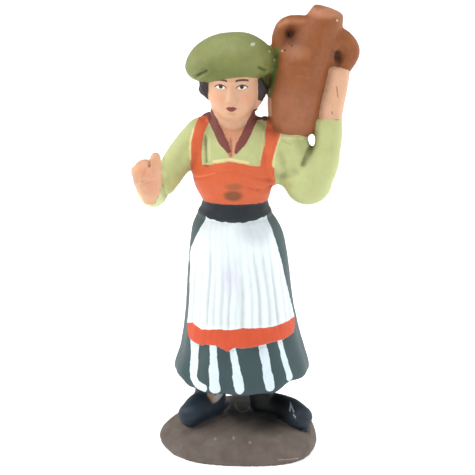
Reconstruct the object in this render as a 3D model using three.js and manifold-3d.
// A painted terracotta nativity figure: a woman in a soft cap carries a water jug on her left shoulder.
// She, the jug and the patch of ground under her were pressed and luted together as one piece of clay,
// so the model is one closed solid. Millimetres, +Z up. She faces -Y, +X is on the viewer's right,
// and the origin is the middle of the flat underside of the ground.

import * as THREE from "three";
import { mergeVertices } from "three/addons/utils/BufferGeometryUtils.js";
import Module from "manifold-3d";

const wasm = await Module();
wasm.setup();

// Driving heights above the underside
const GROUND = 7.4;
const HEM = 17;
const SASH_FOOT = 60.2;
const WAIST = 63.9;
const SHOULDER = 84.6;
const CHIN = 84.9;
const BRIM = 95.5;
const CAP_TOP = 105.3;
const JUG_FOOT = 79.9;

// Driving widths
const GROUND_HALF_WIDTH = 19.7;
const HEM_RADIUS = 17.2;
const WAIST_RADIUS = 7.8;
const BUST_RADIUS = 10.1;
const HEAD_RADIUS = 6.5;
const CAP_RADIUS = 10.5;
const JUG_RADIUS = 6.8;

// Relief and cloth
const FOLDS = 11;
const FOLD_DEPTH = 0.2;
const PLEATS = 22;
const PLEAT_DEPTH = 0.32;
const APRON_THICKNESS = 0.6;
const APRON_FOOT = 29.2;
const STRAP_HALF_WIDTH = 1.35;
const LAPEL_HALF_WIDTH = 1.1;
const STRAP_HALF_THICKNESS = 0.7;

const FRONT = new THREE.Vector3(0, -1, 0);
const UP = new THREE.Vector3(0, 0, 1);
const STILL = new THREE.Matrix4();
const degrees = THREE.MathUtils.degToRad;
const mix = THREE.MathUtils.lerp;

// A closed geometry as a solid that can be joined and cut.
function solidOf(geometry) {
  geometry.deleteAttribute("normal");
  geometry.deleteAttribute("uv");
  const merged = mergeVertices(geometry, 1e-4);
  const vertProperties = merged.attributes.position.array;
  const triVerts = new Uint32Array(merged.index.array);
  return new wasm.Manifold(new wasm.Mesh({ numProp: 3, vertProperties, triVerts }));
}

// A closed skin of rings, lowest first. place(level, turn, reach) gives each point: turn is the angle
// from the front (-Y) towards +X, and reach is 0 in the middle of an end and 1 on a ring.
function skin(sides, levels, place) {
  const geometry = new THREE.CylinderGeometry(1, 1, levels - 1, sides, levels - 1);
  const at = geometry.attributes.position;
  for (let i = 0; i < at.count; i++) {
    const level = Math.round(at.getY(i) + (levels - 1) / 2);
    const turn = Math.atan2(at.getX(i), at.getZ(i));
    const reach = Math.hypot(at.getX(i), at.getZ(i));
    at.setXYZ(i, ...place(level, turn, reach));
  }
  return solidOf(geometry);
}

// A smooth curve through rows of numbers, read at 0 for the first row, 1 for the second and so on.
function through(rows) {
  const size = rows[0].length;
  const curve = new THREE.CubicInterpolant(rows.map((_, i) => i), rows.flat(), size);
  return (t) => Array.from(curve.evaluate(THREE.MathUtils.clamp(t, 0, rows.length - 1)));
}

// An upright form. Each stop is [height, x, y, half width, half depth]. swell(turn, height) adds to the
// radius and rise(turn, height) to the height. Square above 2 makes the outline squarer, dome lifts the
// middle of the top end, hollow lifts the middle of the bottom end, and set moves the whole form.
const none = () => 0;
function stack(stops, options) {
  const { sides, perSpan = 1, swell = none, rise = none, square = 2 } = options;
  const { dome = 0, hollow = 0, set = STILL } = options;
  const at = through(stops);
  const levels = (stops.length - 1) * perSpan + 1;
  return skin(sides, levels, (level, turn, reach) => {
    const [z, x, y, rx, ry] = at(level / perSpan);
    const [s, c] = [Math.sin(turn), Math.cos(turn)];
    const corner = (Math.abs(s) ** square + Math.abs(c) ** square) ** (-1 / square);
    const out = swell(turn, z);
    const spot = new THREE.Vector3(x, y, z + (level ? dome : hollow));
    if (reach > 0.5) spot.set(x + (rx * corner + out) * s, y - (ry * corner + out) * c, z + rise(turn, z));
    return spot.applyMatrix4(set).toArray();
  });
}

// A rounded limb along a curve. Each stop is [x, y, z, radius]. thin below 1 flattens it along facing, and
// bulge says how far its first and last ends stand out, as parts of their radius.
function limb(stops, options = {}) {
  const { sides = 12, perSpan = 2, thin = 1, round = [60, 25], facing = () => FRONT } = options;
  const { bulge = [1, 1] } = options;
  const at = through(stops);
  const spans = stops.length - 1;
  const rings = round.map((a) => ({ t: 0, back: Math.sin(degrees(a)), wide: Math.cos(degrees(a)) }));
  for (let i = 0; i <= spans * perSpan; i++) rings.push({ t: i / perSpan, back: 0, wide: 1 });
  for (const a of [...round].reverse())
    rings.push({ t: spans, back: -Math.sin(degrees(a)), wide: Math.cos(degrees(a)) });
  return skin(sides, rings.length, (level, turn, reach) => {
    const { t, back, wide } = rings[level];
    const [x, y, z, r] = at(t);
    const middle = new THREE.Vector3(x, y, z);
    const along = new THREE.Vector3(...at(t + 0.01)).sub(new THREE.Vector3(...at(t - 0.01))).normalize();
    const out = facing(middle).clone().addScaledVector(along, -facing(middle).dot(along)).normalize();
    const side = new THREE.Vector3().crossVectors(along, out);
    const end = (reach < 0.5 ? Math.sign(back) : back) * (back < 0 ? bulge[1] : bulge[0]);
    const width = reach < 0.5 ? 0 : r * wide;
    return middle
      .addScaledVector(along, -end * r)
      .addScaledVector(side, width * Math.sin(turn))
      .addScaledVector(out, width * thin * Math.cos(turn))
      .toArray();
  });
}

// A sphere of clay with three half sizes.
function ball([x, y, z], [rx, ry, rz], sides = 16) {
  const geometry = new THREE.SphereGeometry(1, sides, Math.round(sides / 2));
  geometry.rotateX(Math.PI / 2).scale(rx, ry, rz).translate(x, y, z);
  return solidOf(geometry);
}

const join = (solids) => solids.reduce((whole, piece) => whole.add(piece));

// Ground: a low rounded patch with a flat underside, fullest at the front on the viewer's right
function ground() {
  const w = GROUND_HALF_WIDTH;
  const stops = [
    [0, -0.3, -1.1, w - 1.5, 17.5],
    [1.6, -0.4, -1.1, w - 0.2, 18.3],
    [3.7, 0.4, -0.9, w - 1.2, 17.3],
    [5.5, 1.2, -0.5, w - 3.2, 15.4],
    [GROUND - 0.5, 1.2, 0.6, w - 6.6, 12.4],
    [GROUND, 1.2, 0, w - 13, 6.2],
  ];
  const corner = (turn) => 2.4 * Math.max(0, Math.cos(turn - degrees(48))) ** 6;
  return stack(stops, { sides: 32, square: 2.25, dome: 0.1, swell: corner });
}

// Feet: an ankle in each shoe, turned outwards
function foot(ankle, toe) {
  const [ax, ay] = ankle;
  const [tx, ty] = toe;
  const sole = GROUND - 0.6;
  const at = (part) => [mix(ax, tx, part), mix(ay, ty, part)];
  const shin = [[ax, ay, HEM + 4, 3.5], [ax, ay, HEM - 3.5, 3.7], [ax, ay, sole + 3, 3.8]];
  const leg = limb(shin, { sides: 8, perSpan: 1 });
  const shoe = limb(
    [
      [...at(-0.35), sole + 2.4, 2.5],
      [...at(0), sole + 2.8, 3.8],
      [...at(0.5), sole + 2.8, 3.8],
      [...at(1), sole + 2.4, 3.0],
    ],
    { sides: 12, perSpan: 1, facing: () => UP },
  );
  return leg.add(shoe);
}

// Skirt: a bell with a rounded hem, hollowed underneath, and lifted at both sides
const SKIRT = [
  [HEM + 2.6, 1.1, 0.6, 11.5, 10.6],
  [HEM + 0.5, 1.1, 0.6, 14.6, 13.7],
  [HEM, 1.1, 0.6, HEM_RADIUS - 0.8, 15],
  [HEM + 1.3, 1.1, 0.6, HEM_RADIUS, 15.7],
  [24.5, 1.1, 0.6, HEM_RADIUS - 1.1, 14.7],
  [30, 0.9, 0.5, 14.5, 13.5],
  [37.7, 0.5, 0.4, 13.4, 12.3],
  [48, 0.2, 0.3, 12.5, 11],
  [54, 0, 0.2, 11.7, 9.8],
  [57.5, -0.4, 0.2, 10.7, 8.9],
  [60.6, -0.7, 0.2, 9.0, 7.6],
  [62.5, -0.6, 0.2, 7.9, 6.6],
];
const fold = (turn) => FOLD_DEPTH * Math.cos(FOLDS * turn);
const pleat = (turn) => PLEAT_DEPTH * Math.cos(PLEATS * turn);
function hemLift(turn, z) {
  const low = THREE.MathUtils.clamp((26 - z) / 8, 0, 1);
  const step = (from, to) => (side) => THREE.MathUtils.smoothstep(side * turn, degrees(from), degrees(to));
  const right = 1.9 * step(24, 46)(1) * (1 - step(60, 150)(1));
  const left = 1.7 * step(47, 62)(-1) * (1 - step(80, 150)(-1));
  return low * (right + left);
}
const skirt = () => stack(SKIRT, { sides: 42, hollow: 0.6, rise: hemLift, swell: (turn) => fold(turn) });

// Apron: one more layer of clay over the front of the skirt, thinner where the sash holds it
const APRON_EDGES = [
  [APRON_FOOT, -62, 63],
  [34, -68, 73],
  [50.5, -74, 60],
  [56, -62, 58],
  [SASH_FOOT + 0.5, -52, 60],
];
function apron() {
  const tuck = (z) => THREE.MathUtils.clamp((SASH_FOOT + 0.5 - z) / 3.5, 0, 1);
  const swell = (turn, z) => (pleat(turn) + APRON_THICKNESS) * tuck(z);
  const layer = stack(SKIRT.slice(3), { sides: 3 * PLEATS, swell });
  const edges = (z) => {
    const i = Math.max(1, APRON_EDGES.findIndex((row) => row[0] >= z - 1e-6));
    const [below, above] = [APRON_EDGES[i - 1], APRON_EDGES[i]];
    const part = (z - below[0]) / (above[0] - below[0]);
    return [1, 2].map((side) => degrees(mix(below[side], above[side], part)));
  };
  const reach = 2 * HEM_RADIUS;
  const fan = new THREE.Shape([new THREE.Vector2(0, 0)]);
  const blades = 8;
  for (let i = 0; i <= blades; i++) fan.lineTo(i / blades, 1);
  const depth = APRON_EDGES.length - 1;
  const geometry = new THREE.ExtrudeGeometry(fan, { depth, steps: depth, bevelEnabled: false });
  const at = geometry.attributes.position;
  for (let i = 0; i < at.count; i++) {
    const z = APRON_EDGES[Math.round(at.getZ(i))][0];
    const [left, right] = edges(z);
    const turn = mix(right, left, at.getX(i));
    const out = at.getY(i) * reach;
    at.setXYZ(i, out * Math.sin(turn), -out * Math.cos(turn), z);
  }
  return layer.intersect(solidOf(geometry));
}

// Sash: two turns of cloth wound round the waist
function sash() {
  const stops = [
    [SASH_FOOT - 0.6, -0.7, 0.1, 8.7, 7.7],
    [SASH_FOOT, -0.7, 0.1, 9.5, 8.6],
    [61.2, -0.65, 0.1, 9.1, 8.2],
    [61.9, -0.6, 0.1, 8.5, 7.5],
    [62.8, -0.6, 0.1, 8.4, 7.5],
    [WAIST + 0.5, -0.55, 0.1, WAIST_RADIUS, 6.8],
  ];
  return stack(stops, { sides: 28 });
}

// Bodice: the laced front, the bust and the shoulders
const BODICE = [
  [WAIST - 1, -0.5, 0.1, WAIST_RADIUS - 0.3, 6.4],
  [WAIST + 0.9, -0.6, 0, 8.3, 7.0],
  [67.2, -0.9, -0.2, BUST_RADIUS - 0.9, 7.6],
  [70, -0.95, -0.4, BUST_RADIUS - 0.2, 8.0],
  [73, -0.9, -0.3, BUST_RADIUS, 7.9],
  [76, -0.8, 0, BUST_RADIUS + 0.1, 7.2],
  [79, -0.8, 0.4, BUST_RADIUS, 6.4],
  [81.3, -1.0, 0.7, BUST_RADIUS - 0.7, 5.6],
  [83, -1.6, 0.9, BUST_RADIUS - 2.2, 4.8],
  [SHOULDER, -1.9, 1.0, BUST_RADIUS - 4.2, 3.9],
];
const bodice = () => stack(BODICE, { sides: 28, square: 2.2, dome: 0.5 });

// The slope from the neck to the shoulder that carries the jug
function slope() {
  const stops = [[1.5, 1, 82.4, 2.3], [5, 0.9, 81.9, 2.2], [7.6, 0.8, 81.5, 2.2]];
  return limb(stops, { sides: 8, perSpan: 1, round: [45] });
}

// A flat strip of clay laid on the body through [x, y, z] marks.
function strip(marks, halfWidth, halfThickness) {
  const stops = marks.map((mark) => [...mark, halfWidth]);
  const facing = (p) => new THREE.Vector3(p.x * 0.6, p.y * 1.6, 0.8 * Math.max(0, p.z - 80));
  return limb(stops, { sides: 6, thin: halfThickness / halfWidth, perSpan: 1, round: [45], facing });
}

function straps() {
  const left = [
    [-9.3, -4.7, 72.4], [-9.9, -4.0, 77.4], [-9.4, -3.4, 81.5], [-7.7, 0, 84.1],
    [-7.7, 4, 82.6], [-7.8, 5.7, 77.5], [-7.4, 5.5, 71],
  ];
  const right = [
    [6.6, -5.7, 72.4], [7.7, -4.7, 77.5], [8.2, -3.2, 80.9], [7.5, 0.4, 83.3],
    [7.3, 4, 82], [7, 6.1, 77.5], [6.8, 5.5, 71],
  ];
  return [left, right].map((marks) => strip(marks, STRAP_HALF_WIDTH, STRAP_HALF_THICKNESS));
}

function lapels() {
  const left = [[-6.2, 0.4, 85.1], [-5.2, -3.4, 83], [-3.9, -5.1, 80.4], [-2.2, -6.5, 77.4]];
  const right = [[4, 0.4, 85.1], [3, -3.8, 83.2], [1.4, -5.3, 80.6], [-0.2, -6.6, 77.6]];
  return [left, right].map((marks) => strip(marks, LAPEL_HALF_WIDTH, STRAP_HALF_THICKNESS));
}

// Head: neck, face, nose, lips and two locks of hair at the temples
const FACE_X = -1.5;
function head() {
  const stops = [
    [CHIN, FACE_X + 0.2, -3.6, 1.9, 1.8],
    [CHIN + 1.2, FACE_X + 0.3, -2.7, 3.8, 3.7],
    [CHIN + 3.2, FACE_X + 0.4, -1.5, 5.3, 5.3],
    [CHIN + 5.8, FACE_X + 0.5, -0.8, 6.2, 6.2],
    [CHIN + 9, FACE_X + 0.5, -0.3, HEAD_RADIUS, 6.8],
    [CHIN + 12.4, FACE_X + 0.5, 0, HEAD_RADIUS - 0.2, 6.8],
    [CHIN + 15.6, FACE_X + 0.5, 0.2, 4.8, 5.2],
  ];
  const nape = [[-0.8, 1.2, 80, 5.2], [-0.9, 0.9, 84.4, 5.1], [-1, 0.6, 90, 5.2]];
  const neck = limb(nape, { perSpan: 1, sides: 14 });
  const skull = stack(stops, { sides: 24, dome: 0.8 });
  const nose = limb(
    [
      [FACE_X, -6.4, CHIN + 8.6, 0.6],
      [FACE_X, -7.0, CHIN + 6.9, 0.75],
      [FACE_X, -7.2, CHIN + 5.6, 0.95],
    ],
    { sides: 6, perSpan: 1, round: [45] },
  );
  const lips = ball([FACE_X, -5.9, CHIN + 3.3], [1.5, 0.9, 0.75], 8);
  const locks = [
    [[-7.1, -1.8, CHIN + 8.6, 1.2], [-7.9, -1.4, CHIN + 6.6, 1.5], [-7.3, -0.8, CHIN + 5.2, 1.1]],
    [[4.9, -1.8, CHIN + 8.6, 1.3], [5.8, -1.4, CHIN + 6.5, 1.6], [5.3, -0.8, CHIN + 4.5, 1.3],
      [4.1, -0.2, CHIN + 2.5, 1.1]],
  ].map((stops) => limb(stops, { sides: 8, perSpan: 1, round: [45] }));
  return [neck, skull, nose, lips, ...locks];
}

// Cap: a soft crown that tips back, and its band round the back of the head
function cap() {
  const set = new THREE.Matrix4()
    .makeRotationFromEuler(new THREE.Euler(degrees(-13), degrees(-5), 0))
    .setPosition(-1.7, 1.4, CAP_TOP - 7.1);
  const crown = stack(
    [
      [-4.6, 0.2, 0, 7.6, 7.2],
      [-3.4, 0, 0, 9.8, 9.1],
      [-1.2, -0.2, 0, CAP_RADIUS + 0.4, 10.2],
      [1.4, 0, 0, CAP_RADIUS + 0.1, 10],
      [4, 0, 0, CAP_RADIUS - 1.9, 8.4],
      [6, 0.1, 0, CAP_RADIUS - 5, 5.6],
      [6.9, 0.3, 0, 2.4, 2.6],
    ],
    { sides: 28, dome: 0.2, set },
  );
  const band = ball([-0.7, 2.6, BRIM - 2.4], [8.6, 6.6, 6.8], 14);
  return [crown, band];
}

// Left arm on the viewer's left: the upper arm hangs, the forearm and the hand reach forward
const small = { sides: 6, perSpan: 1, round: [45] };
function reachingArm() {
  const sleeve = limb([
    [-8.6, 0.9, 79.4, 4.8],
    [-12.5, 0.2, 75.8, 3.9],
    [-15.3, -0.9, 72.5, 3.5],
    [-16.8, -2.2, 70.3, 3.4],
  ], { sides: 12, perSpan: 1 });
  const cuff = limb([
    [-16.8, -2.2, 70.3, 3.4],
    [-18.8, -6.8, 68.6, 3.4],
    [-20.8, -10.8, 68.1, 3.8],
  ], { sides: 12, perSpan: 1, bulge: [1, 0.3] });
  const palm = limb([
    [-20.9, -11.4, 67.4, 1.9],
    [-21.6, -12.9, 69.4, 2.9],
    [-21.9, -13.8, 72, 3.4],
    [-22.3, -14, 74.6, 2.9],
  ], { sides: 10, perSpan: 1, thin: 0.6 });
  const fingers = [-24.9, -23.6, -22.3, -21.1].map((x, i) => {
    const shorter = [1.3, 0.45, 0.1, 0.3][i];
    return limb([
      [x, -14, 73.6, 1.1],
      [x, -14.8, 76.4 - shorter, 1.1],
      [x + 0.2, -16, 75.8 - shorter, 1.05],
      [x + 0.4, -16.4, 74 - shorter, 1],
    ], small);
  });
  const thumb = limb([
    [-19.9, -13, 70.4, 1.8],
    [-19.6, -14.2, 74.6, 1.55],
    [-19.6, -14.6, 77.8, 1.3],
  ], small);
  return [sleeve, cuff, palm, ...fingers, thumb];
}

// Right arm on the viewer's right: bent up, with the hand round the side of the jug under its handle
function holdingArm() {
  const sleeve = limb([
    [7.6, 0.8, 76.8, 5.8],
    [12.6, -0.3, 73.6, 6.4],
    [15.3, -1.1, 72.1, 6.1],
    [16.8, -1.9, 69.8, 5.4],
  ], { sides: 12, perSpan: 1 });
  const armpit = ball([15.3, -0.6, 78.2], [2.1, 2.2, 2.7], 8);
  const cuff = limb([
    [17.5, -2.2, 69, 5.9],
    [20.4, -1.8, 73, 4.5],
    [21.9, -1.4, 77, 3.5],
    [22.2, -1.1, 80, 3.4],
    [22.4, -0.8, 83.3, 3.3],
  ], { sides: 14, perSpan: 1, bulge: [1, 0.2] });
  const wrist = limb([
    [22.8, -0.8, 82, 2.7],
    [23.6, -0.5, 88.5, 2.8],
    [24.4, -0.2, 93, 2.7],
    [24.6, 0, 96.2, 2.65],
  ], { sides: 12, perSpan: 1, bulge: [1, 0.3] });
  const fingers = [0, 1, 2, 3].map((i) =>
    limb([
      [24.3, 1.6, 95.4 - 1.9 * i, 1.3],
      [22.4, 5.6, 95.6 - 1.9 * i, 1.2],
      [18.4, 7.6, 95.2 - 1.9 * i, 1.1],
    ], small));
  return [sleeve, armpit, cuff, wrist, ...fingers];
}

// Jug: a barrel that leans out towards a closed, rounded mouth. Its handles are thick lugs: the one on the
// viewer's left has a small hole through it, and the other a deep pocket.
function jug() {
  const depth = 0.9;
  const body = limb([
    [14.5, depth, JUG_FOOT + 2.3, 5.5],
    [14.2, depth, JUG_FOOT + 4.7, JUG_RADIUS - 0.4],
    [14.1, depth, JUG_FOOT + 7.5, JUG_RADIUS - 0.2],
    [14.5, depth, JUG_FOOT + 11.6, JUG_RADIUS],
    [15.4, depth, JUG_FOOT + 16.1, JUG_RADIUS],
    [16.7, depth, JUG_FOOT + 19.6, JUG_RADIUS - 0.4],
    [18.3, depth, JUG_FOOT + 22.7, 5.6],
    [19.9, depth, JUG_FOOT + 25.7, 4.8],
    [21.3, depth, JUG_FOOT + 28.5, 4.5],
    [22.05, depth, JUG_FOOT + 30.8, 3.9],
  ], { sides: 18, perSpan: 1, bulge: [0.5, 0.12] });
  const loops = [
    [[17.2, 107.1, 2.2], [14.6, 107.4, 2.3], [11.9, 106.8, 2.4],
      [10.8, 104.6, 2.4], [10.8, 102, 2.3], [13.2, 99, 2.2]],
    [[23.2, 105.4, 2], [26.2, 103.5, 2.2], [27.6, 101, 2.2],
      [27.2, 98.8, 2.0], [25.4, 96.6, 1.9], [22.6, 95.2, 2]],
  ].map((stops) => limb(stops.map(([x, z, r]) => [x, depth, z, r]), { sides: 8, perSpan: 1, round: [45] }));
  const webs = [
    ball([14, depth, 103.8], [3.6, 1.3, 4.4], 10),
    ball([24.9, depth + 0.3, 100], [3.2, 1.7, 4], 10),
  ];
  const pocket = ball([24.5, depth - 2.4, 99.8], [1, 2.4, 1.6], 8);
  const hole = limb([[13, -2.4, 104.5, 1.7], [13, depth, 104.5, 0.55], [13, 4.2, 104.5, 1.7]], {
    sides: 8,
    perSpan: 1,
    round: [],
    facing: () => UP,
  });
  return join([body, ...loops, ...webs]).subtract(hole).subtract(pocket);
}

const clay = join([
  ground(),
  foot([-6, -0.8], [-12.1, -7.4]),
  foot([8.3, -0.4], [16.2, -7.4]),
  skirt(),
  apron(),
  sash(),
  bodice(),
  slope(),
  ...straps(),
  ...lapels(),
  ...head(),
  ...cap(),
  ...reachingArm(),
  ...holdingArm(),
  jug(),
]);

const { vertProperties, triVerts } = clay.getMesh();
const geometry = new THREE.BufferGeometry();
geometry.setAttribute("position", new THREE.BufferAttribute(vertProperties, 3));
geometry.setIndex(new THREE.BufferAttribute(triVerts, 1));
geometry.computeVertexNormals();

const terracotta = new THREE.MeshStandardMaterial({ color: 0xb0694a, roughness: 0.75, metalness: 0 });
const figure = new THREE.Mesh(geometry, terracotta);
figure.name = "water_carrier";

const group = new THREE.Group();
group.add(figure);
export default group;
